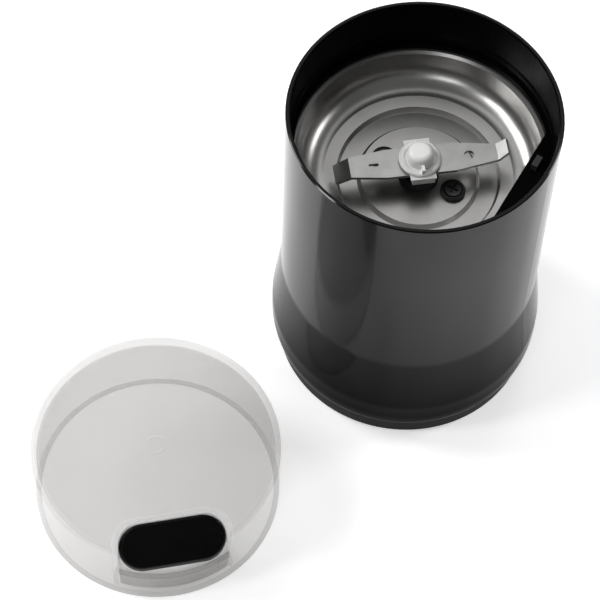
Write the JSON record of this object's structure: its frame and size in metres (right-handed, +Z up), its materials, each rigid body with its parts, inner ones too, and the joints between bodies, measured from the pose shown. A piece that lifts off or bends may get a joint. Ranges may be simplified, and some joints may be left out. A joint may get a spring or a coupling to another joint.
{
  "type": "electric spice grinder",
  "caption": "Glossy black electric spice grinder with a steel bowl, a turning blade and a lid switch, its clear lid with a black press button standing beside it.",
  "frame": {"origin": "on the grinder's axis at the floor", "axes": "+Z up along the blade axis, +Y toward the cord inlet at the back, -Y toward the viewer of the picture"},
  "size_m": [0.167, 0.1546, 0.1289],
  "materials": {
    "gloss_black": "gloss",
    "bowl_steel": "satin",
    "zinc_steel": "satin",
    "cast_aluminium": "satin",
    "core_steel": "matte",
    "copper_wire": "satin",
    "copper_bars": "satin",
    "sintered_bronze": "satin",
    "black_rubber": "matte",
    "black_plastic": "matte",
    "white_plastic": "gloss",
    "grey_plastic": "satin",
    "dark_grey_plastic": "satin",
    "clear_plastic": "gloss",
    "carbon": "matte"
  },
  "bodies": {
    "body": {"housing_shell": "gloss_black", "grinding_bowl": "bowl_steel", "bowl_gasket": "black_rubber", "bowl_screws": "zinc_steel", "screw_grommets": "black_rubber", "shaft_seal": "black_rubber", "upper_motor_bracket": "cast_aluminium", "upper_bearing": "sintered_bronze", "bracket_screws": "zinc_steel", "stator_core": "core_steel", "field_coils": "copper_wire", "lower_motor_bracket": "cast_aluminium", "lower_bearing": "sintered_bronze", "brush_holders": "black_plastic", "carbon_brushes": "carbon", "brush_springs": "zinc_steel", "motor_bolts": "zinc_steel", "motor_damper": "black_rubber", "base_cover": "dark_grey_plastic", "base_screws": "zinc_steel", "rubber_feet": "black_rubber", "cord_gland": "black_rubber", "terminal_block": "white_plastic", "switch_bracket": "zinc_steel", "switch_screws": "zinc_steel", "microswitch": "black_plastic", "switch_terminals": "copper_bars", "plunger_spring": "zinc_steel"},
    "rotor": {"motor_shaft": "zinc_steel", "armature_core": "core_steel", "armature_windings": "copper_wire", "commutator": "copper_bars", "cooling_fan": "grey_plastic", "thrust_washers": "white_plastic", "retaining_clip": "zinc_steel", "grinding_blade": "bowl_steel", "blade_cap": "white_plastic"},
    "interlock": {"interlock_plunger": "black_plastic"},
    "lid": {"lid_shell": "clear_plastic", "lid_retainer": "grey_plastic", "button_springs": "zinc_steel"},
    "lid_button": {"button_pad": "black_plastic", "button_slider": "grey_plastic"}
  },
  "joints": [
    {"name": "blade_spin", "type": "hinge", "parent": "body", "child": "rotor", "pos_m": [0, 0, 0], "axis": [0, 0, 1], "continuous": true},
    {"name": "interlock_press", "type": "slide", "parent": "body", "child": "interlock", "axis": [0, 0, -1], "range_m": [0, 0.0024], "stiffness_N_per_m": 300, "springref_m": -0.004, "deforming": ["plunger_spring"]},
    {"name": "lid_lift", "type": "slide", "parent": "body", "child": "lid", "axis": [0, 0, 1], "range_m": [0, 0.12]},
    {"name": "lid_button_press", "type": "slide", "parent": "lid", "child": "lid_button", "axis": [0, 0, -1], "range_m": [0, 0.0024], "stiffness_N_per_m": 500, "springref_m": -0.004, "deforming": ["button_springs"]}
  ]
}
